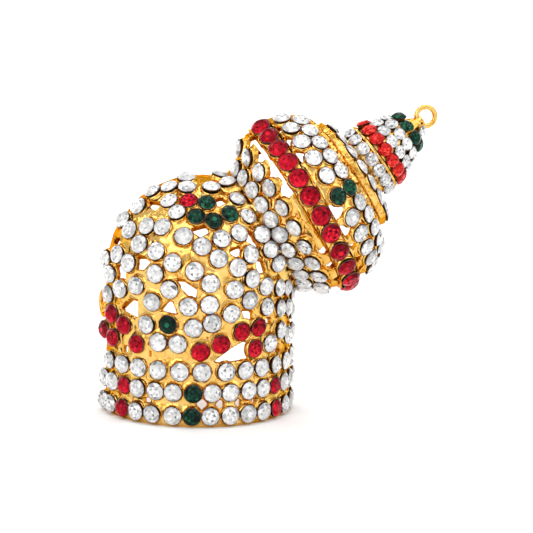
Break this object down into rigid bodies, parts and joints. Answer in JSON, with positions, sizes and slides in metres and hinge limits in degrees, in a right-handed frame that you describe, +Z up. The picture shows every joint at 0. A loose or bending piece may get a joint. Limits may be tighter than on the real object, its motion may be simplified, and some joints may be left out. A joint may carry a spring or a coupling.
{
  "type": "deity half crown",
  "caption": "Open-backed half crown for a small deity figure: pierced gilt dome on a tube, with a leaning side bun, rim plate and pointed finial, all set with glass stones.",
  "frame": {"origin": "on the axis of the tube, in the plane of its rim and of the open back, where the figure's head goes in", "axes": "+Z up along the tube, -Y out of the crown's front, +X towards the leaning bun and the finial"},
  "size_m": [0.0737, 0.0254, 0.0654],
  "materials": {
    "gold": "polished gilt over a lumpy cast surface",
    "clear_stone": "cut and foiled at the back",
    "red_stone": "cut and foiled at the back",
    "green_stone": "cut and foiled at the back"
  },
  "bodies": {
    "root": {"crown_shell": "gold", "bun_shell": "gold", "rim_plate": "gold", "finial_shell": "gold", "tube_clear_stones": "clear_stone", "dome_clear_stones": "clear_stone", "collar_clear_stones": "clear_stone", "bun_clear_stones": "clear_stone", "plate_clear_stones": "clear_stone", "finial_clear_stones": "clear_stone", "finial_red_stones": "red_stone", "finial_green_stones": "green_stone", "red_stone_1": "red_stone", "red_stone_2": "red_stone", "red_stone_3": "red_stone", "red_stone_4": "red_stone", "red_stone_5": "red_stone", "red_stone_6": "red_stone", "red_stone_7": "red_stone", "red_stone_8": "red_stone", "red_stone_9": "red_stone", "red_stone_10": "red_stone", "red_stone_11": "red_stone", "red_stone_12": "red_stone", "red_stone_13": "red_stone", "red_stone_14": "red_stone", "red_stone_15": "red_stone", "green_stone_1": "green_stone", "green_stone_2": "green_stone", "green_stone_3": "green_stone", "green_stone_4": "green_stone", "green_stone_5": "green_stone", "green_stone_6": "green_stone", "green_stone_7": "green_stone", "band_stone_1": "red_stone", "band_stone_2": "red_stone", "band_stone_3": "red_stone", "band_stone_4": "red_stone", "band_stone_5": "red_stone", "band_stone_6": "red_stone", "band_stone_7": "red_stone", "band_stone_8": "red_stone", "band_stone_9": "red_stone", "band_stone_10": "red_stone", "band_stone_11": "red_stone", "band_stone_12": "red_stone", "band_stone_13": "red_stone", "bun_green_stone_1": "green_stone", "bun_green_stone_2": "green_stone"}
  },
  "joints": []
}
